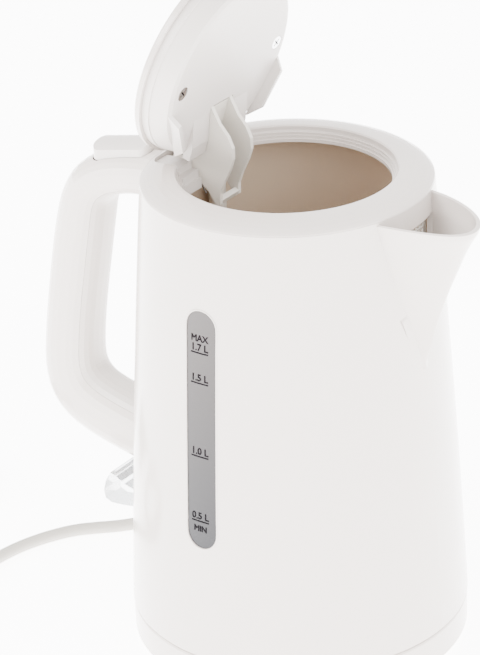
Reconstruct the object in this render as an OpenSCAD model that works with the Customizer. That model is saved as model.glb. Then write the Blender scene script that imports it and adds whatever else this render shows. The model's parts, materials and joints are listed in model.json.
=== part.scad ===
// Electric kettle: a lift-off jug with a hinged lid, standing on a corded power base.
// Millimetres, +Z up, +X towards the spout, -X towards the handle.
// The origin is on the jug's axis, at the level of the table.
// The lid is drawn open, its rest position.

/* [Jug] */
// Radius of the jug where it meets the power base
seam_r = 77; // [74:0.5:80]
// Height of the line between the jug and the power base
seam_z = 17.25; // [15:0.25:20]
// Radius of the jug at its top edge
top_r = 64.1; // [62:0.1:66]
// Height of the jug's top edge
top_z = 220.6; // [218:0.1:223]
// How far the side of the jug bulges past a straight cone
bulge = 0.9; // [0:0.1:2]
// Thickness of the jug's wall
wall = 2.4; // [2:0.1:2.6]

/* [Floor] */
// Height of the top of the element plate, the floor of the water space
floor_z = 54; // [52:0.5:58]
// Thickness of the element plate
plate_t = 1.4; // [1:0.1:2]

/* [Gauge] */
// Half the width of the level window
gauge_half = 7.6; // [6:0.1:9]
// Height of the window's lower end
gauge_low = 72; // [68:1:76]
// Height of the window's upper end
gauge_high = 183.8; // [178:0.2:186]

/* [Lid] */
// Angle at which the open lid stands
lid_angle = 72; // [60:1:75]
// Radius of the lid's top cover
lid_r = 47; // [46:0.1:47.2]
// Height of the hinge pin
pivot_z = 218.5; // [218:0.1:219]
// Distance of the hinge pin behind the jug's axis
pivot_back = 52.5; // [52:0.1:53]

/* [Power base] */
// Radius of the power base
base_r = 76.7; // [74:0.1:77]
// Radius of the connector post in the middle of the power base
post_r = 13; // [11:0.5:14]

/* [Cord] */
// Diameter of the mains cord
cord_d = 6; // [5:0.5:7]
// Radius of the coil, measured to the middle of its turns
coil_r = 33; // [30:1:36]

/* [Hidden] */
$fn = 96;

pivot = [-pivot_back, 0, pivot_z];
inner_floor_r = 70.6;            // radius of the element plate
ledge_z = floor_z - plate_t;     // underside of the element plate

// Lid, as it lies when closed
lid_seam_z = 222.2;              // underside of the top cover's skirt
crease_z = 218.6;                // where the inner cover's wall starts to taper
plateau_z = 209.4;               // underside of the lid
plateau_r = 42.5;
pad_high = 2.6;                  // height of the pads beside the arm
fence_high = 4.4;                // height of the fences on the lid's underside
notch_round = 8;                 // corner radius of the notch for the hinge
arm_gap = 8.2;                   // half the gap in the hinge bracket

// Release button and latch
button_rear = -69.2;             // end of the button by the lid
button_front = -101.4;           // its end at the back of the handle
button_half = 9.2;
button_crown_r = 15.4;           // roundness across its top
latch_half = 3;

// Switch lever
lever_pivot = [-68, 0, 43];

// Cord: points of its route over the table, from the gland to the coil
cord_z = cord_d / 2 + 0.1;
gland_angle = 165;
gland_out = 22;                  // length of the tapered strain relief
cord_route = [
    [-88, 23.6, 8], [-95.6, 25.6, 8], [-102, 26, 7.2], [-108, 24.2, 5.6],
    [-114, 20.6, 4.2], [-120.5, 15.8, 3.4], [-128, 10, cord_z],
    [-135, 3, cord_z], [-140.5, -5.5, cord_z], [-145, -15, cord_z],
    [-148.5, -26, cord_z], [-150.5, -38, cord_z], [-151.5, -50, cord_z],
    [-152, -62, cord_z], [-152, -75, cord_z]
];
coil_centre = [-158 - coil_r, -75];
coil_width = 13;
coil_high = 12.4;
plug_start = [coil_centre[0] - 31.5, -47];
plug_r = 18.2;
plug_nose = 18;                  // length of the plug's strain relief
plug_cone = 22;                  // length of its tapered back
plug_face = 12;                  // thickness of its round face

// Radius of the jug's side at a height
function body_r(z) = let (t = (z - seam_z) / (top_z - seam_z))
    seam_r * (1 - t) + top_r * t + 4 * bulge * t * (1 - t);

// Outline of the jug's side from z0 to z1, moved inwards by inset
function side_points(z0, z1, inset, steps = 14) =
    [for (i = [0:steps]) let (z = z0 + (z1 - z0) * i / steps) [body_r(z) - inset, z]];

// A solid of revolution inside the jug's side
module side_solid(z0, z1, inset = 0) {
    rotate_extrude()
        polygon(concat([[0, z0]], side_points(z0, z1, inset), [[0, z1]]));
}

// A solid through rings that all have the same number of points
module loft(rings) {
    n = len(rings[0]);
    last = len(rings) - 1;
    polyhedron(
        points = [for (ring = rings) each ring],
        faces = concat(
            [[for (k = [0:n - 1]) k]],
            [[for (k = [n - 1:-1:0]) last * n + k]],
            [for (i = [0:last - 1], k = [0:n - 1])
                [i * n + k, (i + 1) * n + k, (i + 1) * n + (k + 1) % n, i * n + (k + 1) % n]]
        ),
        convexity = 6
    );
}

// A box with its edges along Z rounded
module rounded_box(size, r) {
    linear_extrude(size[2])
        square_round(size[0], size[1], r);
}

module square_round(w, d, r) {
    union() {
        square([w - 2 * r, d], center = true);
        square([w, d - 2 * r], center = true);
        for (x = [-1, 1], y = [-1, 1])
            translate([x * (w / 2 - r), y * (d / 2 - r)])
                circle(r, $fn = 32);
    }
}

// Moves a part of the closed lid to its open rest position
module open_lid() {
    translate(pivot)
        rotate([0, -lid_angle, 0])
            translate(-pivot)
                children();
}

// ---- Spout -------------------------------------------------------------

// Levels of the spout: height, keel, half angle on the jug, keel of the hollow,
// radius of the nose, bulge of the flank, fall of the level towards the tip
spout_levels = [
    [146, 69, 1.6, 62, 0.8, 0, 0], [153, 71.2, 2.2, 62.6, 1, 0, 0],
    [160, 73.4, 3.8, 63.2, 1.2, 0, 0], [169, 75.9, 6.6, 64, 1.5, 0.1, 0],
    [177, 78.6, 9.4, 72, 2, 0.2, 0.01], [186, 81.8, 12.4, 77.6, 3, 0.4, 0.02],
    [195.5, 85.6, 15, 82.6, 4.6, 0.7, 0.03], [204.5, 89.2, 17.4, 86.6, 7, 1, 0.04],
    [211.5, 92.4, 19.2, 90, 10.4, 1.9, 0.06], [216, 94.6, 20.4, 92.4, 13, 2.5, 0.08],
    [219.2, 95.6, 21.2, 93.5, 14.2, 2.9, 0.09]
];
spout_wall = 2;

// A point moved out to a least distance from the jug's axis
function held_out(p, r) = let (d = norm(p)) d < r ? p * r / d : p;

// One level's outline, from inside the jug's wall along a flank to the rounded
// nose and back; depth is how far its ends go into the wall
function spout_line(level, inset, keel, depth) = let (
        jr = body_r(level[0]),
        half = max(1, jr * sin(level[2]) - inset),
        foot = [sqrt(jr * jr - half * half), half],
        nose = max(0.5, min(level[4] - inset / 2, half * 0.62)),
        arc = 62,
        start = [keel - nose + nose * cos(arc), nose * sin(arc)],
        run = start[0] - foot[0] > 0.5 ? start - foot : [0.5, -foot[1] / 2],
        mid = foot + run / 2 + level[5] * [-run[1], run[0]] / norm(run),
        back = foot - run * depth / max(0.3, run * foot / jr / norm(run)) / norm(run),
        flat = concat(
            [back, foot, mid],
            [for (i = [0:8]) let (a = arc - i * arc / 4) [keel - nose + nose * cos(a), nose * sin(a)]],
            [[mid[0], -mid[1]], [foot[0], -foot[1]], [back[0], -back[1]]]
        ))
    [for (p = flat) let (q = held_out(p, jr - depth))
        [q[0], q[1], level[0] - level[6] * pow(max(0, q[0] - 61), 2) / 35]];

// A shell between two lofted surfaces whose outlines have the same number of points
module shell_loft(outer, inner) {
    n = len(outer[0]);
    last = len(outer) - 1;
    m = n * (last + 1);
    polyhedron(
        points = concat([for (line = outer) each line], [for (line = inner) each line]),
        faces = concat(
            [for (i = [0:last - 1], k = [0:n - 2]) each [
                [i * n + k, (i + 1) * n + k, (i + 1) * n + k + 1],
                [i * n + k, (i + 1) * n + k + 1, i * n + k + 1],
                [m + i * n + k, m + (i + 1) * n + k + 1, m + (i + 1) * n + k],
                [m + i * n + k, m + i * n + k + 1, m + (i + 1) * n + k + 1]
            ]],
            [for (k = [0:n - 2]) each [
                [k, k + 1, m + k + 1], [k, m + k + 1, m + k],
                [last * n + k, m + last * n + k, m + last * n + k + 1],
                [last * n + k, m + last * n + k + 1, last * n + k + 1]
            ]],
            [for (i = [0:last - 1]) each [
                [i * n, m + i * n, m + (i + 1) * n], [i * n, m + (i + 1) * n, (i + 1) * n],
                [i * n + n - 1, m + (i + 1) * n + n - 1, m + i * n + n - 1],
                [i * n + n - 1, (i + 1) * n + n - 1, m + (i + 1) * n + n - 1]
            ]]
        ),
        convexity = 6
    );
}

module spout() {
    color([0.93, 0.92, 0.9])
        shell_loft(
            [for (level = spout_levels) spout_line(level, 0, level[1], 0.8)],
            [for (level = spout_levels) spout_line(level, spout_wall, level[3], 2)]
        );
}

// Opening in the jug's wall behind the spout, below a band that stays whole
module spout_opening() {
    translate([40, 0, 0])
        rotate([90, 0, 90])
            linear_extrude(60)
                polygon([[-4, 180], [4, 180], [15, 200], [18.5, 211], [-18.5, 211], [-15, 200]]);
}

// ---- Jug ---------------------------------------------------------------

module slot_shape(half, low, high, depth) {
    // an upright slot with round ends, through the wall on the -Y side
    translate([0, -depth, 0])
        rotate([90, 0, 0])
            linear_extrude(30)
                union() {
                    translate([-half, low + half])
                        square([2 * half, high - low - 2 * half]);
                    translate([0, low + half])
                        circle(half);
                    translate([0, high - half])
                        circle(half);
                }
}

module jug_body() {
    color([0.93, 0.92, 0.9])
        difference() {
            side_solid(seam_z + 0.35, top_z);
            // water space
            side_solid(floor_z, top_z + 0.01, wall);
            // dry space under the floor, with a ledge for the element plate
            side_solid(seam_z, ledge_z - 4, wall);
            translate([0, 0, ledge_z - 5])
                cylinder(r = inner_floor_r - 3, h = 10);
            translate([0, 0, ledge_z])
                cylinder(r = inner_floor_r + 0.1, h = 4);
            spout_opening();
            slot_shape(gauge_half, gauge_low, gauge_high, 50);
            // window for the switch lever
            translate([-90, -13, 31])
                cube([30, 26, 17]);
            // slot for the lid latch
            translate([-72, -latch_half - 0.5, 201])
                cube([20, 2 * latch_half + 1, 8.2]);
        }
}

// The ring round the mouth: a domed top, a stepped throat and a short inner skirt
module collar() {
    color([0.93, 0.92, 0.9])
        difference() {
            rotate_extrude()
                polygon([
                    [48.7, 225.0], [50.5, 225.0], [54, 224.7], [57.5, 224.1],
                    [60.5, 223.2], [62.6, 222.2], [63.8, 221.3], [top_r, top_z + 0.1],
                    [61.4, top_z + 0.1], [61.4, 213], [59.6, 213], [59.6, 219.6],
                    [57, 221.2], [53, 222.1], [50.2, 222.2], [49.2, 221.4],
                    [48.4, 217.9], [45.6, 217.9], [45.6, 219.4], [46.4, 219.4],
                    [46.4, 220.8], [47, 220.8], [47, 222], [47.8, 222],
                    [48.0, 222.8], [48.1, 224.4]
                ]);
            translate([-58.5 + 15, 0, 205])
                rounded_box([30, 45, 30], notch_round);
        }
}

module water_gauge() {
    color([0.66, 0.68, 0.7, 0.6])
        intersection() {
            difference() {
                side_solid(gauge_low - 5, gauge_high + 5, 0.4);
                side_solid(gauge_low - 6, gauge_high + 6, wall + 1.4);
            }
            slot_shape(gauge_half - 0.05, gauge_low + 0.05, gauge_high - 0.05, 50);
        }
}

filter_x = 56.8;
filter_low = 186;
filter_high = 212.4;
filter_half = 18;

module spout_filter() {
    color([0.9, 0.9, 0.88])
        difference() {
            translate([filter_x, -filter_half - 0.8, filter_low - 3])
                cube([2.4, 2 * filter_half + 1.6, filter_high - filter_low + 3]);
            for (i = [0:2])
                translate([filter_x - 1, -filter_half + i * 12.3, filter_low])
                    cube([6, 11.4, filter_high - filter_low - 3]);
        }
}

module filter_mesh() {
    color([0.75, 0.74, 0.7])
        for (i = [0:2])
            difference() {
                translate([filter_x + 0.8, -filter_half + i * 12.3 + 0.02, filter_low + 0.02])
                    cube([0.8, 11.36, filter_high - filter_low - 3.04]);
                for (c = [0:3], r = [0:7])
                    translate([filter_x, -filter_half + i * 12.3 + 0.8 + c * 2.6, filter_low + 0.8 + r * 2.85])
                        cube([3, 2, 2.2]);
            }
}

// ---- Lid and hinge -------------------------------------------------------

module hinge_bracket() {
    color([0.9, 0.89, 0.87])
        difference() {
            union() {
                translate([-58.3, -22.2, 210])
                    cube([13.3, 44.4, 11.7]);
                translate([-45, -22.2, 210])
                    cube([3.6, 44.4, 8.3]);
                translate([-41.4, -22.2, 210])
                    cube([1.4, 44.4, 4.6]);
            }
            translate([-70, -arm_gap, 200])
                cube([40, 2 * arm_gap, 30]);
            translate([-52.5, 0, pivot_z])
                rotate([90, 0, 0])
                    cylinder(r = 2, h = 41, center = true);
            // round the back corners to suit the notch in the collar
            for (s = [-1, 1])
                translate([-58.4, s * 22.3, 205])
                    rotate([0, 0, s > 0 ? -90 : 0])
                        corner_cut(notch_round);
        }
}

// Takes the corner off a block, leaving a quarter round of radius r
module corner_cut(r) {
    difference() {
        translate([-1, -1, 0])
            cube([r + 1, r + 1, 30]);
        translate([r, r, -1])
            cylinder(r = r, h = 32);
    }
}

module hinge_pin() {
    color([0.75, 0.75, 0.76])
        translate(pivot)
            rotate([90, 0, 0])
                cylinder(r = 2, h = 41, center = true);
}

module lid_top_cover() {
    color([0.93, 0.92, 0.9])
        open_lid()
            rotate_extrude()
                polygon([
                    [0, 227.8], [12, 227.6], [24, 227.0], [34, 226.3], [41, 225.7],
                    [45, 225.3], [46.7, 224.9], [lid_r, 224.2], [lid_r, lid_seam_z],
                    [0, lid_seam_z]
                ]);
}

// The hollow under the lid, cut to clear the hinge bracket and to hold the arm
module lid_inner_cover() {
    color([0.91, 0.9, 0.88])
        open_lid()
            difference() {
                lid_inner_form();
                // room for the hinge bracket
                hinge_room();
                // slot for the arm
                translate([-60, -arm_gap - 0.1, 200])
                    cube([43, 2 * arm_gap + 0.2, 16]);
                // screw recesses
                for (s = [-1, 1])
                    translate([0, s * 35, plateau_z - 0.1])
                        cylinder(r = 3.3, h = 1.3);
                for (s = [-1, 1])
                    translate([0, s * 35, plateau_z])
                        cylinder(r = 1.5, h = 9);
            }
}

module hinge_room() {
    translate([-60, -22.6, 200])
        cube([20.4, 45.2, 19.2]);
    translate([-60, -22.6, 200])
        cube([15.6, 45.2, 30]);
}

// The inner cover's dish, with raised pads by the arm and two low fences
module lid_inner_form() {
    union() {
        rotate_extrude()
            polygon([
                [0, lid_seam_z - 0.1], [45.3, lid_seam_z - 0.1], [45.3, crease_z],
                [44.8, crease_z - 0.2], [43.2, plateau_z + 3.2],
                [plateau_r, plateau_z + 1.2], [plateau_r - 1.8, plateau_z + 0.2],
                [plateau_r - 4, plateau_z], [0, plateau_z]
            ]);
        for (s = [-1, 1]) {
            translate([0, s * (arm_gap + 6) + 6, 0])
                rotate([90, 0, 0])
                    linear_extrude(12)
                        polygon([
                            [-39.5, plateau_z + 1], [-39.5, plateau_z - pad_high],
                            [-33, plateau_z - pad_high], [-20, plateau_z], [-20, plateau_z + 1]
                        ]);
            translate([-10, s * 40, plateau_z])
                rotate([0, 0, s * 208])
                    rotate([90, 0, 0])
                        linear_extrude(2, center = true)
                            polygon([[-1, 1], [4, -fence_high], [22, -fence_high], [29, 1]]);
        }
    }
}

module lid_screws() {
    color([0.8, 0.8, 0.82])
        open_lid()
            for (s = [-1, 1])
                translate([0, s * 35, 0])
                    difference() {
                        union() {
                            translate([0, 0, plateau_z + 0.1])
                                cylinder(r = 3.1, h = 1.1);
                            translate([0, 0, plateau_z + 1.2])
                                cylinder(r = 1.5, h = 7.6);
                        }
                        for (a = [0, 90])
                            rotate([0, 0, a + 45])
                                translate([-2, -0.35, plateau_z])
                                    cube([4, 0.7, 0.8]);
                    }
}

// Side view of the arm when the lid is open, as x and z
arm_outline = [
    [-39.9, 238.5], [-33.9, 250.2], [-29.4, 241.5], [-25.2, 236.6], [-22.9, 231.5],
    [-22.9, 226.5], [-24.8, 221.2], [-28.3, 214.2], [-30.4, 208.9], [-30.6, 203.6],
    [-32, 202.9], [-34, 204.6], [-36.6, 208.6], [-40.5, 212.2], [-47, 213.6],
    [-50.5, 213.9], [-54.6, 214.3], [-56.9, 217.2], [-56.6, 220.4], [-54.8, 222.4],
    [-51.5, 223.2], [-47.5, 223.2], [-44.2, 225.6], [-42, 231.5]
];

module lid_arm() {
    color([0.86, 0.85, 0.82])
        difference() {
            union() {
                for (s = [-1, 1])
                    translate([0, s * 6.9 + 1, 0])
                        rotate([90, 0, 0])
                            linear_extrude(2)
                                polygon(arm_outline);
                // hub between the cheeks
                translate(pivot)
                    rotate([90, 0, 0])
                        cylinder(r = 4, h = 14, center = true);
                // bridge under the lid
                translate([-39.9, -7, 237.7])
                    rotate([0, 90 - lid_angle, 0])
                        translate([0.4, 0, 0])
                            cube([2, 14, 12]);
                // catch between the tips
                translate([-33.8, -7, 203.9])
                    rotate([0, 30, 0])
                        cube([2.4, 14, 3]);
            }
            translate(pivot)
                rotate([90, 0, 0])
                    cylinder(r = 2.05, h = 30, center = true);
        }
}

// A torsion spring wound round the hub, with one leg on the bracket side
module lid_spring() {
    color([0.45, 0.44, 0.43])
        translate(pivot)
            rotate([90, 0, 0])
                for (i = [-2:2])
                    translate([0, 0, i * 1.5])
                        rotate_extrude()
                            translate([4.75, 0])
                                circle(0.6, $fn = 16);
}

// ---- Handle --------------------------------------------------------------

// Stations round the handle: outer x, z, inner x, z, half width
handle_stations = [
    [-58, 221, -58, 197.6, 13.4], [-70, 220.4, -69, 197.4, 13], [-80, 218.8, -77.5, 196.9, 12.8],
    [-90, 216.4, -84.5, 195.6, 12.6], [-99, 213.2, -90, 193.8, 12.6], [-107, 208.8, -94, 191.4, 12.6],
    [-114, 202.8, -96.6, 188.8, 12.6], [-119.6, 194.4, -98, 185.4, 12.6], [-123.8, 184, -99, 180, 12.6],
    [-127.4, 170, -101.2, 168, 12.6], [-130.4, 155.4, -103.9, 153.6, 12.6], [-132.9, 141.6, -106.5, 139.8, 12.6],
    [-135.1, 128.6, -108.6, 127, 12.6], [-137.2, 113.6, -109.9, 116.4, 12.6], [-138.3, 100, -110.4, 109.4, 12.6],
    [-136.6, 87.4, -110.2, 104.6, 12.6], [-130.6, 77, -109, 101.2, 12.6], [-120.8, 70, -106.4, 98.6, 12.6],
    [-108.6, 65.6, -102.2, 96.6, 12.8], [-98, 63, -97, 95, 13], [-87, 60.8, -90, 93.4, 13.4],
    [-75, 58.8, -80, 91.8, 14], [-64, 57.2, -66, 90.2, 14.6]
];
handle_power = 0.8;    // below 1 the section turns from an ellipse towards a rectangle
split = -0.7;         // where the inner half meets the shell, -1 to 1 across the section

// The stations with a smooth one added between each two
function handle_between(i) = let (
        n = len(handle_stations),
        a = handle_stations[max(0, i - 1)],
        b = handle_stations[i],
        c = handle_stations[i + 1],
        d = handle_stations[min(n - 1, i + 2)])
    (9 * (b + c) - a - d) / 16;

handle_path = [for (i = [0:2 * len(handle_stations) - 2])
    i % 2 == 0 ? handle_stations[i / 2] : handle_between((i - 1) / 2)];

function soft(c) = sign(c) * pow(abs(c), handle_power);

// Points of one section between two angles, in the plane of its station
function handle_ring(s, a0, a1, steps) = [for (k = [0:steps])
    let (a = a0 + (a1 - a0) * k / steps, u = soft(cos(a)), v = soft(sin(a)))
    [(s[0] + s[2]) / 2 + (s[0] - s[2]) / 2 * u, v * s[4], (s[1] + s[3]) / 2 + (s[1] - s[3]) / 2 * u]];

split_angle = acos(-pow(abs(split), 1 / handle_power));

module handle_shell() {
    color([0.93, 0.92, 0.9])
        difference() {
            loft([for (s = handle_path) handle_ring(s, -split_angle, split_angle, 18)]);
            side_solid(20, top_z + 3, -0.05);
            // pocket for the release button
            translate([(button_front + button_rear) / 2, 0, 207.6])
                rounded_box([button_rear - button_front + 1, 2 * button_half + 0.9, 30], 5.4);
            // channel for the latch
            translate([-86.6, -latch_half - 0.6, 201.2])
                cube([30, 2 * latch_half + 1.2, 12]);
            translate([-94.5, 0, 203])
                cylinder(r = 4.4, h = 6);
            translate([-88, 0, 50])
                cylinder(r = 3.2, h = 13);
            translate([-88, 0, 60])
                cylinder(r = 1.6, h = 12);
        }
}

module handle_inner() {
    color([0.91, 0.9, 0.88])
        difference() {
            loft([for (s = handle_path) handle_ring(s, split_angle + 0.8, 360 - split_angle - 0.8, 8)]);
            side_solid(20, top_z + 3, -0.05);
        }
}

module handle_screw() {
    color([0.7, 0.7, 0.72])
        translate([-88, 0, 61.6])
            union() {
                cylinder(r = 3, h = 1.4);
                translate([0, 0, 1.4])
                    cylinder(r = 1.6, h = 8);
            }
}

// The button on the top of the handle
module release_button() {
    color([0.92, 0.91, 0.89])
        difference() {
            intersection() {
                translate([(button_front + button_rear) / 2, 0, 205])
                    rounded_box([button_rear - button_front, 2 * button_half, 30], 5);
                rotate([90, 0, 0])
                    linear_extrude(40, center = true)
                        polygon([
                            [-110, 211.2], [-110, 217], [-101.4, 218.6], [-97.5, 220.2], [-92, 221.6],
                            [-84, 223.2], [-76, 224.4], [-71.5, 224.7], [-69.4, 224.2],
                            [-69, 223.2], [-60, 211.2]
                        ]);
                // crown across the top
                translate([-69, 0, 224.8 - button_crown_r])
                    rotate([0, 90 - 12, 0])
                        cylinder(r = button_crown_r, h = 120, center = true);
            }
            // grip grooves at the rear
            for (i = [0:3])
                translate([-98.6 + i * 2.4, 0, 220.2 + i * 0.62])
                    rotate([90, 0, 0])
                        cylinder(r = 0.55, h = 13, center = true, $fn = 24);
        }
}

// Rod under the button, a bar through the wall and a plate that meets the arm
module lid_latch() {
    color([0.85, 0.84, 0.82])
        union() {
            translate([-86, -latch_half, 204.6])
                cube([4.6, 2 * latch_half, 6.6]);
            translate([-81.4, -latch_half, 204.6])
                cube([20.2, 2 * latch_half, 3.9]);
            translate([-62.5, -latch_half, 191])
                cube([1.3, 2 * latch_half, 13.6]);
        }
}

module button_spring() {
    color([0.6, 0.6, 0.6])
        translate([-94.5, 0, 0])
            for (i = [0:3])
                translate([0, 0, 203.7 + i * 2.25])
                    rotate_extrude()
                        translate([3.2, 0])
                            circle(0.6, $fn = 16);
}

// ---- Switch ---------------------------------------------------------------

// Side view of the lever, as x and z
lever_outline = [
    [-99, 52.2], [-102, 47], [-103.4, 42], [-102.6, 37.6], [-99, 36.2], [-92, 36.8],
    [-84, 38], [-76, 38.6], [-66, 39.4], [-64, 43], [-66, 46.6], [-76, 46.4],
    [-84, 46.6], [-91, 48.4], [-96, 51.4]
];

module switch_lever() {
    color([0.85, 0.88, 0.9, 0.55])
        difference() {
            rotate([90, 0, 0])
                linear_extrude(23, center = true)
                    polygon(lever_outline);
            translate(lever_pivot)
                rotate([90, 0, 0])
                    cylinder(r = 1.55, h = 40, center = true);
            translate([-77, -5.2, 30])
                cube([7.2, 10.4, 30]);
        }
}

module lever_pin() {
    color([0.7, 0.7, 0.72])
        translate(lever_pivot)
            rotate([90, 0, 0])
                cylinder(r = 1.5, h = 32, center = true);
}

module indicator_lamp() {
    color([0.9, 0.45, 0.2])
        translate([-73.4, 0, 40])
            cylinder(r = 1.6, h = 5.4);
}

// ---- Inside the foot of the jug ---------------------------------------------

module element_plate() {
    color([0.76, 0.76, 0.76])
        translate([0, 0, ledge_z])
            cylinder(r = inner_floor_r - 1.6, h = plate_t);
}

module element_seal() {
    color([0.3, 0.3, 0.3])
        translate([0, 0, ledge_z])
            difference() {
                cylinder(r = inner_floor_r, h = plate_t);
                translate([0, 0, -1])
                    cylinder(r = inner_floor_r - 1.6, h = plate_t + 2);
            }
}

// A horseshoe under the plate, with a pin at each end
module heating_element() {
    color([0.6, 0.6, 0.6])
        union() {
            translate([0, 0, ledge_z - 4.5])
                rotate([0, 0, 30])
                    rotate_extrude(angle = 300)
                        translate([42, 0])
                            circle(4, $fn = 32);
            for (s = [-1, 1])
                rotate([0, 0, s * 38])
                    translate([42, 0, ledge_z - 16])
                        cylinder(r = 1.8, h = 11);
        }
}

module thermostat() {
    color([0.2, 0.2, 0.22])
        difference() {
            translate([-33, -24, 34.6])
                cube([62, 48, 17.9]);
            translate([0, 0, 30])
                cylinder(r = 8, h = 12);
        }
}

// Socket on the jug's axis that drops over the post of the power base
module jug_socket() {
    color([0.16, 0.16, 0.17])
        difference() {
            translate([0, 0, 18.6])
                cylinder(r = 19.5, h = 16);
            translate([0, 0, 18])
                cylinder(r = post_r + 0.6, h = 14);
            translate([0, 0, 31])
                cylinder(r = 2.6, h = 5);
        }
}

module socket_contacts() {
    color([0.8, 0.62, 0.35])
        difference() {
            translate([0, 0, 32])
                cylinder(r = 2.5, h = 4);
            translate([0, 0, 31])
                cylinder(r = 1.9, h = 4);
        }
}

module steam_tube() {
    color([0.85, 0.85, 0.83])
        translate([-54, 22, floor_z])
            difference() {
                cylinder(r = 4, h = 146);
                translate([0, 0, 4])
                    cylinder(r = 2.8, h = 150);
            }
}

module bottom_cover() {
    color([0.88, 0.87, 0.85])
        difference() {
            translate([0, 0, seam_z + 0.35])
                cylinder(r = 73.8, h = 2.4);
            translate([0, 0, 10])
                cylinder(r = 20, h = 20);
            bottom_holes(1.7);
        }
}

module bottom_holes(r) {
    for (a = [60, 180, 300])
        rotate([0, 0, a])
            translate([58, 0, seam_z])
                cylinder(r = r, h = 12);
}

module bottom_screws() {
    color([0.7, 0.7, 0.72])
        for (a = [60, 180, 300])
            rotate([0, 0, a])
                translate([58, 0, 0])
                    union() {
                        translate([0, 0, seam_z + 2.75])
                            cylinder(r = 3, h = 1.4);
                        translate([0, 0, seam_z + 0.6])
                            cylinder(r = 1.7, h = 3);
                    }
}

// ---- Power base ----------------------------------------------------------------

module base_top() {
    color([0.92, 0.91, 0.89])
        difference() {
            rotate_extrude()
                polygon([
                    [post_r + 0.4, 14.2], [70, 14.2], [73.9, 12.6], [74.1, 4.2],
                    [74.1, 1.6], [76.1, 1.6], [base_r, 2.4], [base_r, 15.6],
                    [base_r - 0.35, 16.4], [base_r - 1.2, 16.9], [24, 16.9],
                    [22, 16.3], [post_r + 0.4, 16.3]
                ]);
            rotate([0, 0, gland_angle])
                translate([60, 0, 8])
                    rotate([0, 90, 0])
                        cylinder(r = 4.1, h = 30);
        }
}

module base_bottom() {
    color([0.88, 0.87, 0.85])
        difference() {
            translate([0, 0, 1.8])
                cylinder(r = 74, h = 2.2);
            base_screw_places()
                cylinder(r = 1.7, h = 10);
        }
}

module base_screw_places() {
    for (a = [45, 135, 225, 315])
        rotate([0, 0, a])
            translate([48, 0, 0])
                children();
}

// Post with the ring contacts that the jug turns on
module base_post() {
    color([0.16, 0.16, 0.17])
        difference() {
            union() {
                translate([0, 0, 4])
                    cylinder(r = 22, h = 10);
                cylinder_at(14, post_r, 14.5);
            }
            for (r = [10.2, 6])
                translate([0, 0, 20])
                    difference() {
                        cylinder(r = r + 0.9, h = 10);
                        translate([0, 0, -1])
                            cylinder(r = r - 0.9, h = 12);
                    }
        }
}

module cylinder_at(z, r, h) {
    translate([0, 0, z])
        cylinder(r = r, h = h);
}

module post_contacts() {
    color([0.8, 0.62, 0.35])
        for (r = [10.2, 6])
            translate([0, 0, 20])
                difference() {
                    cylinder(r = r + 0.35, h = 7);
                    translate([0, 0, -1])
                        cylinder(r = r - 0.35, h = 10);
                }
}

module base_feet() {
    color([0.35, 0.35, 0.35])
        union() {
            for (a = [0:72:288])
                rotate([0, 0, a + 20])
                    translate([62, 0, 0])
                        cylinder(r = 5.5, h = 1.8);
            cylinder(r = 9, h = 1.8);
        }
}

module base_screws() {
    color([0.7, 0.7, 0.72])
        base_screw_places()
            union() {
                translate([0, 0, 0.6])
                    cylinder(r = 3, h = 1.2);
                translate([0, 0, 1.8])
                    cylinder(r = 1.7, h = 9);
            }
}

// ---- Cord and plug ----------------------------------------------------------------

module cord_gland() {
    color([0.8, 0.79, 0.77])
        rotate([0, 0, gland_angle])
            translate([0, 0, 8])
                rotate([0, 90, 0])
                    union() {
                        translate([0, 0, 70])
                            cylinder(r = 4, h = 9);
                        translate([0, 0, 77])
                            cylinder(r1 = 5, r2 = 3.6, h = gland_out);
                    }
}

// Unit direction at point i of the cord's route
function route_dir(i) = let (
        a = cord_route[max(0, i - 1)],
        b = cord_route[min(len(cord_route) - 1, i + 1)],
        d = b - a)
    d / norm(d);

function cord_ring(i) = let (
        d = route_dir(i),
        side = cross(d, [0, 0, 1]) / norm(cross(d, [0, 0, 1])),
        up = cross(side, d),
        sides = 10)
    [for (k = [0:sides - 1]) let (a = 360 * k / sides + 18)
        cord_route[i] + cord_d / 2 * (cos(a) * side + sin(a) * up)];

module mains_cord() {
    color([0.8, 0.79, 0.77])
        loft([for (i = [0:len(cord_route) - 1]) cord_ring(i)]);
}

module cord_coil() {
    color([0.8, 0.79, 0.77])
        translate([coil_centre[0], coil_centre[1], 0])
            rotate_extrude()
                translate([coil_r, coil_high / 2])
                    square_round(coil_width, coil_high, 3);
}

module plug_body() {
    color([0.8, 0.79, 0.77])
        translate([plug_start[0], plug_start[1], plug_r + 0.3])
            rotate([-90, 0, 0])
                union() {
                    cylinder(r1 = 4.2, r2 = 6, h = plug_nose);
                    translate([0, 0, plug_nose])
                        cylinder(r1 = 8.5, r2 = plug_r, h = plug_cone);
                    translate([0, 0, plug_nose + plug_cone])
                        cylinder(r = plug_r, h = plug_face);
                }
}

module plug_pins() {
    color([0.8, 0.78, 0.7])
        for (s = [-1, 1])
            translate([
                plug_start[0] + s * 9.5,
                plug_start[1] + plug_nose + plug_cone + plug_face,
                plug_r + 0.3
            ])
                rotate([-90, 0, 0])
                    cylinder(r = 2.4, h = 19);
}

jug_body();
spout();
collar();
water_gauge();
spout_filter();
filter_mesh();
hinge_bracket();
hinge_pin();
lid_top_cover();
lid_inner_cover();
lid_screws();
lid_arm();
lid_spring();
handle_shell();
handle_inner();
handle_screw();
release_button();
lid_latch();
button_spring();
switch_lever();
lever_pin();
indicator_lamp();
element_plate();
element_seal();
heating_element();
thermostat();
jug_socket();
socket_contacts();
steam_tube();
bottom_cover();
bottom_screws();
base_top();
base_bottom();
base_post();
post_contacts();
base_feet();
base_screws();
cord_gland();
mains_cord();
cord_coil();
plug_body();
plug_pins();
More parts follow.
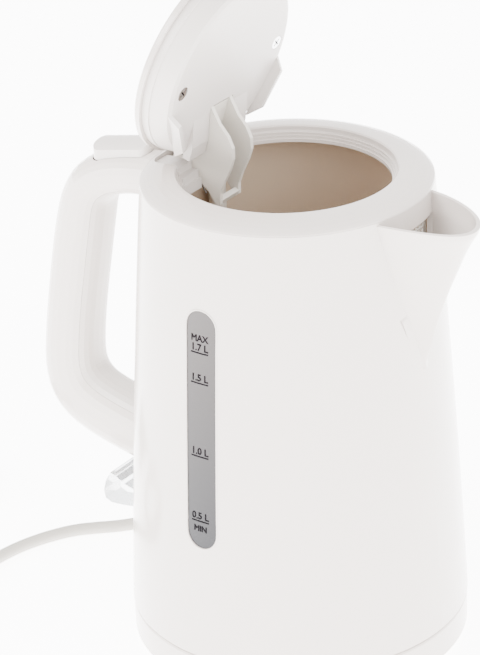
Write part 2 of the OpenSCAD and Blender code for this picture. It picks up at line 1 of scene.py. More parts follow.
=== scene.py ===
"""Electric kettle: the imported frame, its cord, its materials and the small detail."""

import json
import math

import bmesh
import bpy
from mathutils import Matrix, Vector
from mathutils.bvhtree import BVHTree


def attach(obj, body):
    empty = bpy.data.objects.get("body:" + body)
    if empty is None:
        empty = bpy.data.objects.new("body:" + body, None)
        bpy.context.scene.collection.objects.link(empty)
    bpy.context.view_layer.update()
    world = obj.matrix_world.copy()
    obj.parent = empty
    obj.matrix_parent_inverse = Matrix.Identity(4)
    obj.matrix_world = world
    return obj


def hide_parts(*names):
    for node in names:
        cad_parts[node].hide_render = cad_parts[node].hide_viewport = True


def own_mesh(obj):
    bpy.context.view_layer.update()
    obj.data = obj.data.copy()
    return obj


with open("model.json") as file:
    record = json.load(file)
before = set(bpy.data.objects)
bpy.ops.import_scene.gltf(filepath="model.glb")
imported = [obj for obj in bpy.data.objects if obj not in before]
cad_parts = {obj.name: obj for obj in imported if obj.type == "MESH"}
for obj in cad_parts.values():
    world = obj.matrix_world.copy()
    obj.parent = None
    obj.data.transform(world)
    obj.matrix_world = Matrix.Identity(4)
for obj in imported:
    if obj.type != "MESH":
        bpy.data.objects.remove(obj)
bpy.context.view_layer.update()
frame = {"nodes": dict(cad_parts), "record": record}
nodes = frame["nodes"]

MM = 0.001


# ---- Camera -----------------------------------------------------------------

AZIMUTH, ELEVATION, ROLL = 35.0, 26.94, -2.37
PAN, TILT = -0.96, 0.954
DISTANCE = 1.3837
TARGET = Vector((0, 0, 0.12324))
LENS = 170.4
SENSOR = 36


def camera():
    """A long lens, looking down on the level window's side from the spout's side."""
    azimuth, elevation, roll = (math.radians(a) for a in (AZIMUTH, ELEVATION, ROLL))
    pan, tilt = math.radians(PAN), math.radians(TILT)
    back = Vector((
        math.sin(azimuth) * math.cos(elevation),
        -math.cos(azimuth) * math.cos(elevation),
        math.sin(elevation),
    ))
    right = (-back).cross(Vector((0, 0, 1))).normalized()
    up = right.cross(-back)
    ahead = (
        -back * math.cos(pan) * math.cos(tilt)
        + right * math.sin(pan) * math.cos(tilt)
        + up * math.sin(tilt)
    ).normalized()
    level = ahead.cross(Vector((0, 0, 1))).normalized()
    upright = level.cross(ahead)
    x_axis = level * math.cos(roll) + upright * math.sin(roll)
    y_axis = -level * math.sin(roll) + upright * math.cos(roll)
    data = bpy.data.cameras.new("camera")
    data.lens = LENS
    data.sensor_width = SENSOR
    data.clip_end = 20
    ob = bpy.data.objects.new("camera", data)
    place = TARGET + DISTANCE * back
    ob.matrix_world = Matrix((
        (x_axis.x, y_axis.x, -ahead.x, place.x),
        (x_axis.y, y_axis.y, -ahead.y, place.y),
        (x_axis.z, y_axis.z, -ahead.z, place.z),
        (0, 0, 0, 1),
    ))
    bpy.context.collection.objects.link(ob)
    bpy.context.scene.camera = ob


# ---- Helpers ----------------------------------------------------------------

def link(ob, body):
    """Put the piece in the scene, on its body."""
    bpy.context.collection.objects.link(ob)
    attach(ob, body)
    return ob


def smooth(ob, angle=35):
    """Smooth shading that keeps edges sharper than the angle."""
    mesh = ob.data
    mesh.shade_smooth()
    bm = bmesh.new()
    bm.from_mesh(mesh)
    limit = math.radians(angle)
    flags = [len(e.link_faces) == 2 and e.calc_face_angle() > limit for e in bm.edges]
    bm.free()
    attr = mesh.attributes.get("sharp_edge")
    if attr is None:
        attr = mesh.attributes.new("sharp_edge", "BOOLEAN", "EDGE")
    attr.data.foreach_set("value", flags)


def mesh_of(name, bm):
    """A new mesh from the bmesh, which is freed."""
    mesh = bpy.data.meshes.new(name)
    bm.to_mesh(mesh)
    bm.free()
    return mesh


# ---- Looks ------------------------------------------------------------------

class Nodes:
    """Wires one material's nodes; out is its Principled BSDF."""

    def __init__(self, name):
        self.material = bpy.data.materials.new(name)
        self.material.use_nodes = True
        self.tree = self.material.node_tree
        self.out = self.tree.nodes["Principled BSDF"]

    def add(self, kind, **values):
        """A new node, with its sockets or its own settings given by name."""
        node = self.tree.nodes.new(kind)
        for key, value in values.items():
            if key in node.inputs:
                node.inputs[key].default_value = value
            else:
                setattr(node, key, value)
        return node

    def join(self, a, b):
        self.tree.links.new(a, b)

    def place(self):
        """Where a point is in the object."""
        return self.add("ShaderNodeTexCoord").outputs["Object"]

    def noise(self, scale, detail=3.0):
        node = self.add("ShaderNodeTexNoise", Scale=scale, Detail=detail)
        self.join(self.place(), node.inputs["Vector"])
        return node.outputs["Fac"]

    def span(self, value, low, high):
        """A 0 to 1 value stretched over low to high."""
        node = self.add("ShaderNodeMapRange")
        node.inputs["To Min"].default_value = low
        node.inputs["To Max"].default_value = high
        self.join(value, node.inputs["Value"])
        return node.outputs["Result"]

    def share(self, value, low, high):
        """How far a value is from low to high, as 0 to 1."""
        node = self.add("ShaderNodeMapRange")
        node.inputs["From Min"].default_value = low
        node.inputs["From Max"].default_value = high
        self.join(value, node.inputs["Value"])
        return node.outputs["Result"]

    def axis(self, place, name):
        """One coordinate of a place."""
        node = self.add("ShaderNodeSeparateXYZ")
        self.join(place, node.inputs[0])
        return node.outputs[name]

    def blend(self, value, a, b):
        """Colour a where the value is 0 and b where it is 1; each a colour or a socket."""
        node = self.add("ShaderNodeMix")
        node.data_type = "RGBA"
        for socket, colour in ((node.inputs[6], a), (node.inputs[7], b)):
            if isinstance(colour, tuple):
                socket.default_value = (*colour, 1)
            else:
                self.join(colour, socket)
        self.join(value, node.inputs[0])
        return node.outputs[2]

    def bump(self, height, distance):
        node = self.add("ShaderNodeBump", Strength=1.0, Distance=distance)
        self.join(height, node.inputs["Height"])
        self.join(node.outputs["Normal"], self.out.inputs["Normal"])

    def colour_socket(self):
        """What the base colour is wired to so far."""
        return self.out.inputs["Base Color"].links[0].from_socket


def darker(colour, share):
    return tuple(c * share for c in colour)


def moulded(name, colour, rough, coat=0.0, depth=0.02):
    """Moulded plastic: faint cloudiness, a fine skin and slightly uneven gloss."""
    n = Nodes(name)
    n.join(n.blend(n.noise(28.0), darker(colour, 0.965), colour), n.out.inputs["Base Color"])
    n.join(n.span(n.noise(140.0), rough * 0.85, rough * 1.2), n.out.inputs["Roughness"])
    n.out.inputs["Coat Weight"].default_value = coat
    n.out.inputs["Coat Roughness"].default_value = 0.12
    n.bump(n.noise(1800.0, 2.0), depth * MM)
    return n


def metal(name, colour, rough, grain=(60.0, 900.0)):
    """Metal with fine drawn lines and patchy polish."""
    n = Nodes(name)
    n.out.inputs["Metallic"].default_value = 1.0
    stretch = n.add("ShaderNodeMapping")
    stretch.inputs["Scale"].default_value = (grain[0], grain[1], grain[0])
    n.join(n.place(), stretch.inputs["Vector"])
    lines = n.add("ShaderNodeTexNoise", Scale=1.0, Detail=4.0)
    n.join(stretch.outputs["Vector"], lines.inputs["Vector"])
    fac = lines.outputs["Fac"]
    n.join(n.blend(fac, darker(colour, 0.85), colour), n.out.inputs["Base Color"])
    n.join(n.span(fac, rough * 0.8, rough * 1.25), n.out.inputs["Roughness"])
    n.bump(fac, 0.01 * MM)
    return n


def clear(name, colour, rough, through):
    """Clear moulding that lets part of the light through."""
    n = Nodes(name)
    n.join(n.blend(n.noise(60.0), darker(colour, 0.97), colour), n.out.inputs["Base Color"])
    n.join(n.span(n.noise(180.0), rough * 0.8, rough * 1.3), n.out.inputs["Roughness"])
    n.out.inputs["Transmission Weight"].default_value = through
    n.out.inputs["IOR"].default_value = 1.49
    n.bump(n.noise(400.0, 2.0), 0.01 * MM)
    return n


WHITE = (0.53, 0.475, 0.438)
INNER_BACK = (0.55, 0.44, 0.33)
INNER_FRONT = (0.55, 0.375, 0.25)
# Painted shade on the window: near black at its foot, less dark at its top
GAUGE_SHADED_FOOT = (0.010, 0.0095, 0.012)
GAUGE_LIGHTER_TOP = (0.058, 0.050, 0.048)
# Painted shade colour for the bottoms of the screw crosses
CROSS_PAINTED_SHADE = (0.02, 0.018, 0.018)


def jug_look(name):
    """White outside and beige inside, told apart by which way a face points.

    The beige is deeper towards the spout.
    """
    n = moulded(name, WHITE, 0.22, coat=0.35)
    place, face = n.place(), n.add("ShaderNodeNewGeometry")
    flat = n.add("ShaderNodeVectorMath", operation="MULTIPLY")
    flat.inputs[1].default_value = (1, 1, 0)
    n.join(place, flat.inputs[0])
    out = n.add("ShaderNodeVectorMath", operation="NORMALIZE")
    n.join(flat.outputs["Vector"], out.inputs[0])
    dot = n.add("ShaderNodeVectorMath", operation="DOT_PRODUCT")
    n.join(out.outputs["Vector"], dot.inputs[0])
    n.join(face.outputs["Normal"], dot.inputs[1])
    inside = n.share(dot.outputs["Value"], -0.3, -0.6)
    forward = n.share(n.axis(place, "X"), -0.06, 0.06)
    warm = n.blend(forward, INNER_BACK, INNER_FRONT)
    n.join(n.blend(inside, n.colour_socket(), warm), n.out.inputs["Base Color"])
    return n


def gauge_look(name):
    """Grey window, with painted shade making it darker and a little bluer towards the foot."""
    n = clear(name, (0.36, 0.345, 0.37), 0.2, 0.05)
    n.out.inputs["Specular IOR Level"].default_value = 0.3
    # Painted shade: the colour darkens with falling height
    height = n.share(n.axis(n.place(), "Z"), 0.072, 0.184)
    n.join(n.blend(height, GAUGE_SHADED_FOOT, GAUGE_LIGHTER_TOP), n.out.inputs["Base Color"])
    return n


def ink_look(name):
    """Flat dark printing ink."""
    n = moulded(name, (0.006, 0.005, 0.006), 0.8)
    n.out.inputs["Specular IOR Level"].default_value = 0.05
    return n


def screw_look(name):
    """Bright plating, with painted shade down in the cross where ambient occlusion finds the
    recess.
    """
    n = metal(name, (0.92, 0.92, 0.93), 0.28)
    # Painted shade: where the ambient occlusion is low, the colour goes to near black
    shade = n.add("ShaderNodeAmbientOcclusion", Distance=0.5 * MM)
    in_the_open = n.share(shade.outputs["AO"], 0.1, 0.4)
    n.join(n.blend(in_the_open, CROSS_PAINTED_SHADE, n.colour_socket()), n.out.inputs["Base Color"])
    return n


def mesh_look(name):
    """Nylon mesh: two sets of crossing threads."""
    n = Nodes(name)
    most = n.add("ShaderNodeMath", operation="MAXIMUM")
    for k, direction in enumerate(("X", "Z")):
        wave = n.add("ShaderNodeTexWave", Scale=420.0)
        wave.bands_direction = direction
        n.join(n.place(), wave.inputs["Vector"])
        n.join(wave.outputs["Fac"], most.inputs[k])
    threads = most.outputs[0]
    n.join(n.blend(threads, (0.42, 0.40, 0.36), (0.76, 0.73, 0.67)), n.out.inputs["Base Color"])
    n.out.inputs["Roughness"].default_value = 0.6
    n.bump(threads, 0.1 * MM)
    return n


MAKERS = {
    "white_gloss": lambda name: moulded(name, WHITE, 0.22, coat=0.35),
    "white_satin": lambda name: moulded(name, (0.54, 0.495, 0.462), 0.36, coat=0.1, depth=0.03),
    "cream_plastic": lambda name: moulded(name, (0.58, 0.54, 0.48), 0.4, depth=0.03),
    "clear_smoke": gauge_look,
    "clear_plastic": lambda name: clear(name, (0.93, 0.95, 0.97), 0.07, 0.85),
    "nylon_mesh": mesh_look,
    "steel": lambda name: metal(name, (0.62, 0.62, 0.63), 0.3),
    "spring_steel": lambda name: metal(name, (0.20, 0.18, 0.16), 0.34),
    "chrome": screw_look,
    "stainless": lambda name: metal(name, (0.66, 0.65, 0.63), 0.32, (20.0, 700.0)),
    "silicone": lambda name: moulded(name, (0.50, 0.49, 0.47), 0.55),
    "rubber": lambda name: moulded(name, (0.09, 0.09, 0.09), 0.7, depth=0.05),
    "aluminium": lambda name: metal(name, (0.58, 0.58, 0.58), 0.5, (300.0, 300.0)),
    "black_plastic": lambda name: moulded(name, (0.025, 0.025, 0.027), 0.42, depth=0.04),
    "brass": lambda name: metal(name, (0.72, 0.53, 0.26), 0.3),
    "brass_pin": lambda name: metal(name, (0.76, 0.74, 0.68), 0.22),
    "lamp": lambda name: clear(name, (0.85, 0.42, 0.15), 0.15, 0.6),
    "cord_grey": lambda name: moulded(name, (0.39, 0.365, 0.325), 0.45, coat=0.05, depth=0.03),
    "ink": ink_look,
}
made = {}


def look(slot):
    """The slot's material, made once."""
    if slot not in made:
        made[slot] = MAKERS[slot]("mat_" + slot).material
    return made[slot]


def dress_nodes():
    """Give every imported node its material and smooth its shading."""
    for row in frame["record"]["subparts"]:
        ob = nodes[row["node"]]
        material = look(row["material_slot"])
        if row["node"] == "jug_body":
            material = jug_look("mat_jug_wall").material
        ob.data.materials.clear()
        ob.data.materials.append(material)
        smooth(ob)


# ---- Cord -------------------------------------------------------------------

CORD_D = 6 * MM
CORD_Z = CORD_D / 2 + 0.1 * MM
COIL_R = 33 * MM
COIL_CENTRE = Vector((-0.158 - COIL_R, -0.075, 0))
GLAND_ANGLE = math.radians(165)
GLAND_Z = 8 * MM
GLAND_OUT = Vector((math.cos(GLAND_ANGLE), math.sin(GLAND_ANGLE), 0))
BASE_EDGE = 77 * MM
# The laid stretch from the strain relief to the coil, in millimetres
ROUTE = [
    (-88, 23.6, 8), (-95.6, 25.6, 8), (-102, 26, 7.2), (-108, 24.2, 5.6),
    (-114, 20.6, 4.2), (-120.5, 15.8, 3.4), (-128, 10, 3.1),
    (-135, 3, 3.1), (-140.5, -5.5, 3.1), (-145, -15, 3.1),
    (-148.5, -26, 3.1), (-150.5, -38, 3.1), (-151.5, -50, 3.1),
    (-152, -62, 3.1), (-152, -75, 3.1),
]
TURNS = 2.5
PER_TURN = 24
SPIRAL_START, SPIRAL_PITCH, SPIRAL_TURNS = 6, 6.15, 2.1
TOP_OUT, TOP_UP = 4.6 * MM, 6.3 * MM
PLUG_NOSE = Vector((-0.2225, -0.047, 0.0185))
RIBS = 5
RIB_WIRE = 0.55 * MM
TIE_HALF_WIDTH, TIE_HALF_HEIGHT, TIE_Z = 9.4 * MM, 6.15 * MM, 6.6 * MM
TIE_SQUARENESS = 0.35
TIE_POINTS = 28


def step(t, t0, t1):
    """0 before t0, 1 after t1 and smooth between."""
    u = min(1.0, max(0.0, (t - t0) / (t1 - t0)))
    return u * u * (3 - 2 * u)


def coil_points():
    """A flat spiral inwards, whose last half turn lies on top of the others."""
    points = []
    for i in range(1, int(TURNS * PER_TURN) + 1):
        t = i / PER_TURN
        spiral = COIL_R + (SPIRAL_START - SPIRAL_PITCH * min(t, SPIRAL_TURNS)) * MM
        r = spiral + TOP_OUT * step(t, 2.2, 2.5)
        z = CORD_Z + TOP_UP * step(t, 1.95, 2.25)
        a = -2 * math.pi * t
        points.append(COIL_CENTRE + Vector((r * math.cos(a), r * math.sin(a), z)))
    return points


def cord_points():
    """From the base's edge along the table, round the coil and into the plug."""
    exit_point = GLAND_OUT * BASE_EDGE
    exit_point.z = GLAND_Z
    points = [exit_point] + [Vector(p) * MM for p in ROUTE] + coil_points()
    last, inside_plug, count = points[-1], PLUG_NOSE + Vector((0, 0.004, 0)), 5
    for k in range(1, count + 1):
        u = k / count
        p = last.lerp(inside_plug, u)
        p.z = last.z + (PLUG_NOSE.z - last.z) * step(u, 0, 1)
        points.append(p)
    return points


def tube(name, points, radius, body, slot, cyclic=False, sides=5):
    """A round bar of this radius along the points."""
    data = bpy.data.curves.new(name, "CURVE")
    data.dimensions = "3D"
    data.bevel_depth = radius
    data.bevel_resolution = sides
    data.resolution_u = 4
    data.use_fill_caps = not cyclic
    spline = data.splines.new("BEZIER")
    spline.bezier_points.add(len(points) - 1)
    spline.use_cyclic_u = cyclic
    for knot, p in zip(spline.bezier_points, points):
        knot.co = p
        knot.handle_left_type = knot.handle_right_type = "AUTO"
    ob = bpy.data.objects.new(name, data)
    ob.data.materials.append(look(slot))
    return link(ob, body)


def ring(centre, axis, r, count=24):
    """Points of a circle round an axis."""
    axis = axis.normalized()
    side = axis.orthogonal().normalized()
    other = axis.cross(side)
    angles = (2 * math.pi * k / count for k in range(count))
    return [centre + r * (math.cos(a) * side + math.sin(a) * other) for a in angles]


def rib(name, centre, axis, r):
    """One moulded rib round the strain relief or the plug."""
    return tube(name, ring(centre, axis, r), RIB_WIRE, "power_base", "cord_grey",
                cyclic=True, sides=3)


def squared(value):
    """Rounds a circle's sine or cosine out towards a square."""
    return math.copysign(abs(value) ** TIE_SQUARENESS, value)


def tie_points():
    """A flat loop round the wound turns."""
    points = []
    for k in range(TIE_POINTS):
        a = 2 * math.pi * k / TIE_POINTS
        x = TIE_HALF_WIDTH * squared(math.cos(a))
        z = TIE_HALF_HEIGHT * squared(math.sin(a))
        points.append(COIL_CENTRE + Vector((0, -(COIL_R - 0.7 * MM + x), TIE_Z + z)))
    return points


def cord_set():
    """The cord as one lead, with its ribs and tie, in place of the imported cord."""
    points = cord_points()
    cord = tube("mains_lead", points, CORD_D / 2, "power_base", "cord_grey")
    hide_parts("mains_cord", "cord_coil")
    for k in range(RIBS):
        d = 81 + 3.4 * k
        r = (5 - 1.4 * (d - 77) / 22) * MM
        centre = GLAND_OUT * d * MM + Vector((0, 0, GLAND_Z))
        rib(f"gland_rib_{k + 1}", centre, GLAND_OUT, r)
    for k in range(RIBS):
        d = 3 + 3 * k
        r = (4.2 + 1.8 * d / 18) * MM
        centre = PLUG_NOSE + Vector((0, d * MM, 0))
        rib(f"plug_rib_{k + 1}", centre, Vector((0, 1, 0)), r)
    tube("cord_tie", tie_points(), 0.4 * MM, "power_base", "rubber",
                            cyclic=True, sides=3)


# ---- Spout ------------------------------------------------------------------

# Height, keel, half angle on the jug, keel of the hollow, roundness of the nose
# and fall towards the tip, in millimetres and degrees
SPOUT_LEVELS = [
    (146, 69, 1.6, 62, 0.15, 0), (153, 71.2, 2.2, 62.6, 0.15, 0),
    (160, 73.4, 3.8, 63.2, 0.16, 0), (169, 75.9, 6.6, 64, 0.19, 0),
    (177, 78.6, 9.4, 72, 0.24, 0.01), (186, 81.8, 12.2, 77.6, 0.31, 0.02),
    (195.5, 85.6, 14.6, 82.6, 0.39, 0.03), (204.5, 89.2, 16.8, 86.6, 0.47, 0.04),
    (211.5, 92.4, 18.4, 90, 0.54, 0.06), (216, 94.6, 19.5, 92.4, 0.58, 0.08),
    (219.2, 95.4, 20.2, 93.4, 0.6, 0.09),
]
SPOUT_WALL = 2.0
SPOUT_ROWS = 48
SPOUT_HALF = 18
NOSE_LEAST, NOSE_RANGE = 0.15, 0.45
# The jug's outer wall: height and radius of foot and top, and how far it swells
FOOT_Z, TOP_Z = 17.25, 220.6
FOOT_R, TOP_R, SWELL = 77, 64.1, 3.6


def jug_r(z):
    """Radius of the jug's outer wall at a height, in millimetres."""
    t = (z - FOOT_Z) / (TOP_Z - FOOT_Z)
    return FOOT_R * (1 - t) + TOP_R * t + SWELL * t * (1 - t)


def between(table, t):
    """A smooth row of the table at a place t from 0 to 1 down its length."""
    at = t * (len(table) - 1)
    i = min(int(at), len(table) - 2)
    u = at - i
    a, b, c, d = (table[max(0, min(len(table) - 1, i + k))] for k in (-1, 0, 1, 2))
    return [
        0.5 * (2 * q + (r - p) * u
               + (2 * p - 5 * q + 4 * r - s) * u * u
               + (3 * q - p - 3 * r + s) * u ** 3)
        for p, q, r, s in zip(a, b, c, d)
    ]


def spout_line(level, inset, keel, depth):
    """One level's outline, from one end in the jug's wall round the nose to the other.

    Inset is how far the sides lie in from the level's own, and depth how far the
    ends go into the wall.
    """
    z, _, angle, _, nose, fall = level
    wall_r = jug_r(z)
    half = max(1.0, wall_r * math.sin(math.radians(angle)) - inset)
    foot = Vector((math.sqrt(wall_r ** 2 - half ** 2), half))
    reach = max(0.4, keel - foot.x)
    drop = 0.44 - 0.37 * (nose - NOSE_LEAST) / NOSE_RANGE
    knots = (
        foot,
        foot + Vector((0.44 * reach, -drop * half)),
        Vector((foot.x + reach, nose * half)),
        Vector((foot.x + reach, 0)),
    )
    run = (knots[1] - foot).normalized()
    points = [foot - run * depth / max(0.3, abs(run.dot(foot)) / wall_r)]
    for k in range(SPOUT_HALF + 1):
        u = k / SPOUT_HALF
        weights = ((1 - u) ** 3, 3 * u * (1 - u) ** 2, 3 * u * u * (1 - u), u ** 3)
        points.append(sum((w * q for w, q in zip(weights, knots)), Vector((0, 0))))
    points += [Vector((q.x, -q.y)) for q in points[-2::-1]]
    line = []
    for q in points:
        least = wall_r - depth
        if q.length < least:
            q = q * least / q.length
        line.append(Vector((q.x, q.y, z - fall * max(0.0, q.x - 61) ** 2 / 35)) * MM)
    return line


def spout_shell():
    """The beak as one thin shell with a rounded rim."""
    levels = [between(SPOUT_LEVELS, i / SPOUT_ROWS) for i in range(SPOUT_ROWS + 1)]
    outer = [spout_line(v, 0, v[1], 0.8) for v in levels]
    inner = [spout_line(v, SPOUT_WALL, v[3], 2) for v in levels]
    rim = [(a + b) / 2 + Vector((0, 0, 0.45 * MM)) for a, b in zip(outer[-1], inner[-1])]
    bm = bmesh.new()
    rows = [[bm.verts.new(p) for p in line] for line in outer + [rim] + inner[::-1]]
    rows.append(rows[0])
    for a, b in zip(rows, rows[1:]):
        for k in range(len(a) - 1):
            bm.faces.new((a[k], a[k + 1], b[k + 1], b[k]))
    bm.faces.new([row[0] for row in rows[:-1]])
    bm.faces.new([row[-1] for row in rows[-2::-1]])
    bmesh.ops.triangulate(bm, faces=[f for f in bm.faces if len(f.verts) > 4])
    bmesh.ops.recalc_face_normals(bm, faces=bm.faces)
    mesh = mesh_of("spout_shell", bm)
    mesh.materials.append(look("white_gloss"))
    ob = link(bpy.data.objects.new("spout_shell", mesh), "jug")
    smooth(ob, 50)
    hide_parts("spout")


# ---- Detail -----------------------------------------------------------------

WINDOW_LOW, WINDOW_HIGH, WINDOW_HALF = 72 * MM, 183.8 * MM, 7.6 * MM
# Height of the line in millimetres, its number, the word above and the word below
MARKS = [
    (164.0, "1.7 L", "MAX", None),
    (150.0, "1.5 L", None, None),
    (115.5, "1.0 L", None, None),
    (84.5, "0.5 L", None, "MIN"),
]
TEXT_SIZE = 4.5
TEXT_X = -0.8 * MM
INK_T = 0.1 * MM
INK_SPREAD = 0.09 * MM
RULE_HALF, RULE_THICK, RULE_STEPS = 4.5 * MM, 0.55 * MM, 16
BEZEL_WIRE = 0.42 * MM


def tree_of(*names):
    """The faces of these nodes, to cast lines at."""
    verts, faces = [], []
    for name in names:
        mesh = nodes[name].data
        start = len(verts)
        verts += [v.co.copy() for v in mesh.vertices]
        faces += [[start + i for i in p.vertices] for p in mesh.polygons]
    return BVHTree.FromPolygons(verts, faces)


def front_y(tree, x, z):
    """Where a line along +Y first meets the faces."""
    return tree.ray_cast(Vector((x, -0.3, z)), Vector((0, 1, 0)))[0].y


def letters(name, text, size, z, tree):
    """Printed letters wrapped on the window, their foot at height z."""
    data = bpy.data.curves.new(name, "FONT")
    data.body = text
    data.size = size * MM
    data.align_x = "CENTER"
    data.extrude = INK_T / 2
    data.bevel_depth = INK_SPREAD
    data.bevel_resolution = 0
    data.resolution_u = 3
    source = bpy.data.objects.new(name + "_source", data)
    bpy.context.collection.objects.link(source)
    bpy.context.view_layer.update()
    mesh = bpy.data.meshes.new_from_object(source)
    bpy.data.objects.remove(source)
    for v in mesh.vertices:
        x, high, deep = v.co.x + TEXT_X, v.co.y, v.co.z
        v.co = (x, front_y(tree, x, z + high) - 1.2 * INK_T - deep, z + high)
    print_piece(name, mesh)


def print_piece(name, mesh):
    """A closed and inked piece of the print, on the jug."""
    bm = bmesh.new()
    bm.from_mesh(mesh)
    bmesh.ops.remove_doubles(bm, verts=bm.verts, dist=1e-6)
    bmesh.ops.recalc_face_normals(bm, faces=bm.faces)
    bm.to_mesh(mesh)
    bm.free()
    mesh.materials.clear()
    mesh.materials.append(look("ink"))
    link(bpy.data.objects.new(name, mesh), "jug")


def rule(name, z, tree):
    """A printed line on the window, its foot at height z."""
    section = ((0, 0), (RULE_THICK, 0), (RULE_THICK, 2 * INK_T), (0, 2 * INK_T))
    bm = bmesh.new()
    rows = []
    for i in range(RULE_STEPS + 1):
        x = TEXT_X - RULE_HALF + 2 * RULE_HALF * i / RULE_STEPS
        rows.append([
            bm.verts.new((x, front_y(tree, x, z + dz) - dy, z + dz)) for dz, dy in section
        ])
    for a, b in zip(rows, rows[1:]):
        for k in range(4):
            bm.faces.new((a[k], a[(k + 1) % 4], b[(k + 1) % 4], b[k]))
    bm.faces.new(rows[0])
    bm.faces.new(rows[-1][::-1])
    print_piece(name, mesh_of(name, bm))


def gauge_print():
    """The window's generic scale."""
    tree = tree_of("water_gauge")
    for z, number, above, below in MARKS:
        tag = number[:3].replace(".", "_")
        rule(f"gauge_line_{tag}", z * MM, tree)
        letters(f"gauge_number_{tag}", number, TEXT_SIZE, (z + 1.3) * MM, tree)
        if above:
            letters("gauge_word_max", above, TEXT_SIZE * 0.92, (z + 5.6) * MM, tree)
        if below:
            letters("gauge_word_min", below, TEXT_SIZE * 0.86, (z - 4.6) * MM, tree)


def window_bezel():
    """A thin bead round the window."""
    tree = tree_of("jug_body", "water_gauge")
    half = WINDOW_HALF + 0.35 * MM
    low, high = WINDOW_LOW + WINDOW_HALF, WINDOW_HIGH - WINDOW_HALF
    side = [low + (high - low) * k / 12 for k in range(12)]
    angles = [math.pi * k / 12 for k in range(12)]
    bend = [(half * math.cos(a), half * math.sin(a)) for a in angles]
    outline = [(half, z) for z in side] + [(x, high + z) for x, z in bend]
    outline += [(-half, high - (z - low)) for z in side] + [(-x, low - z) for x, z in bend]
    points = [Vector((x, front_y(tree, x, z) + 0.1 * MM, z)) for x, z in outline]
    tube("window_bezel", points, BEZEL_WIRE, "jug", "white_gloss", cyclic=True, sides=3)


LID_OPEN = math.radians(72)
PIVOT = Vector((-52.5, 0, 218.5)) * MM
SCREW_SIDE = 35
# One arm of the cross: its length, its half width, its bottom and its top
CROSS_ARM, CROSS_HALF, CROSS_LOW, CROSS_HIGH = 1.8, 0.3, 209.75, 210.2
CROSS_TAPER = 0.8


def opened(p):
    """A point of the closed lid, in millimetres, moved to where the open lid has it."""
    return Matrix.Rotation(-LID_OPEN, 3, "Y") @ (Vector(p) * MM - PIVOT) + PIVOT


def cross_shades():
    """Painted shade: dark pieces down in the crosses of the two lid screws."""
    corners = []
    for k in range(4):
        turn = math.radians(45 + 90 * k)
        c, s = math.cos(turn), math.sin(turn)
        for x, y in ((CROSS_ARM, -CROSS_HALF), (CROSS_ARM, CROSS_HALF), (CROSS_HALF, CROSS_HALF)):
            corners.append((x * c - y * s, x * s + y * c))
    count = len(corners)
    for side, name in ((-SCREW_SIDE, "near"), (SCREW_SIDE, "far")):
        bm = bmesh.new()
        foot = [bm.verts.new(opened((x, side + y, CROSS_LOW))) for x, y in corners]
        head = [
            bm.verts.new(opened((x * CROSS_TAPER, side + y * CROSS_TAPER, CROSS_HIGH)))
            for x, y in corners
        ]
        bm.faces.new(foot)
        bm.faces.new(head[::-1])
        for k in range(count):
            after = (k + 1) % count
            bm.faces.new((foot[k], foot[after], head[after], head[k]))
        bmesh.ops.recalc_face_normals(bm, faces=bm.faces)
        mesh = mesh_of(f"screw_cross_shade_{name}", bm)
        # The print's ink colour serves here as painted shade in the recess
        mesh.materials.append(look("ink"))
        link(bpy.data.objects.new(f"screw_cross_shade_{name}", mesh), "lid")


def button_coil():
    """The button's spring as one wound wire."""
    turns, per_turn, r, wire = 4, 16, 3.2, 0.5
    low, high = 203.7, 210.4
    count = turns * per_turn
    path = []
    for i in range(count + 1):
        a = 2 * math.pi * i / per_turn
        z = low + (high - low) * step(i / count, 0, 1)
        path.append(Vector((-94.5 + r * math.cos(a), r * math.sin(a), z)) * MM)
    source = tube("button_coil_path", path, wire * MM, "jug", "spring_steel", sides=2)
    bpy.context.view_layer.update()
    mesh = bpy.data.meshes.new_from_object(source)
    bpy.data.objects.remove(source)
    ob = link(bpy.data.objects.new("button_coil", mesh), "jug")
    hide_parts("button_spring")
    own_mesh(ob)


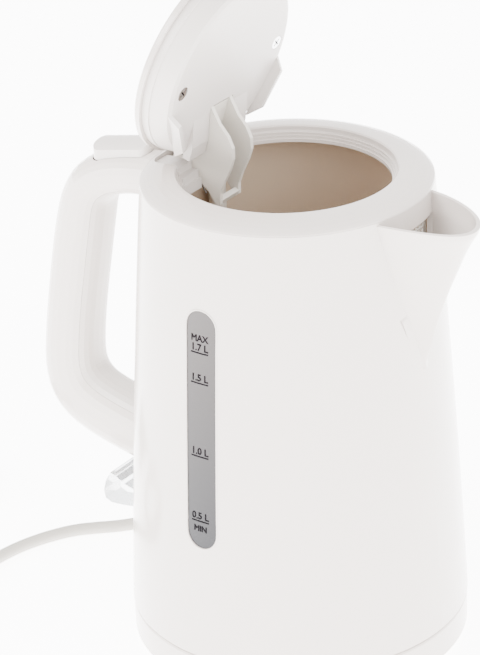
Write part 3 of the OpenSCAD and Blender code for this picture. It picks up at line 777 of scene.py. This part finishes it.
def spring_legs():
    """The lid spring's turned ends, down inside the notch."""
    for side, name in ((-1, "near"), (1, "far")):
        points = [Vector(p) * MM for p in (
            (-50, side * 2.2, 216), (-46.5, side * 3.2, 213),
            (-43, side * 4.6, 210.4), (-39.6, side * 5.6, 206.4),
        )]
        tube(f"spring_leg_{name}", points, 0.4 * MM, "jug", "spring_steel", sides=3)


# ---- Stage ------------------------------------------------------------------

PURE_WHITE = (1, 1, 1, 1)
PAPER = (0.93, 0.93, 0.93, 1)
FLOOR_HALF = 4.0
FLOOR_GLOW = 7.5
WORLD_STRENGTH = 4.0
LIGHTS_AIM = Vector((0, 0, 0.12))
# Name, place, size and power
LIGHTS = (
    ("key", (-1.0, -1.4, 1.6), 1.2, 75),
    ("fill", (1.8, -0.6, 1.2), 1.4, 30),
)


def stage():
    """A pale glowing floor, a white surround and two soft lights."""
    mesh = bpy.data.meshes.new("floor")
    s = FLOOR_HALF
    mesh.from_pydata([(-s, -s, 0), (s, -s, 0), (s, s, 0), (-s, s, 0)], [], [(0, 1, 2, 3)])
    floor = bpy.data.objects.new("floor", mesh)
    paper = Nodes("floor")
    paper.out.inputs["Base Color"].default_value = PAPER
    paper.out.inputs["Roughness"].default_value = 0.6
    paper.out.inputs["Emission Color"].default_value = PURE_WHITE
    paper.out.inputs["Emission Strength"].default_value = FLOOR_GLOW
    mesh.materials.append(paper.material)
    bpy.context.collection.objects.link(floor)
    world = bpy.data.worlds.new("studio")
    world.use_nodes = True
    background = world.node_tree.nodes["Background"]
    background.inputs["Color"].default_value = PURE_WHITE
    background.inputs["Strength"].default_value = WORLD_STRENGTH
    bpy.context.scene.world = world
    for name, place, size, power in LIGHTS:
        light = bpy.data.lights.new(name, "AREA")
        light.size = size
        light.energy = power
        ob = bpy.data.objects.new(name, light)
        ob.location = place
        ob.rotation_euler = (LIGHTS_AIM - Vector(place)).to_track_quat("-Z", "Y").to_euler()
        bpy.context.collection.objects.link(ob)


camera()
cord_set()
stage()
dress_nodes()
gauge_print()
window_bezel()
spout_shell()
cross_shades()
button_coil()
spring_legs()
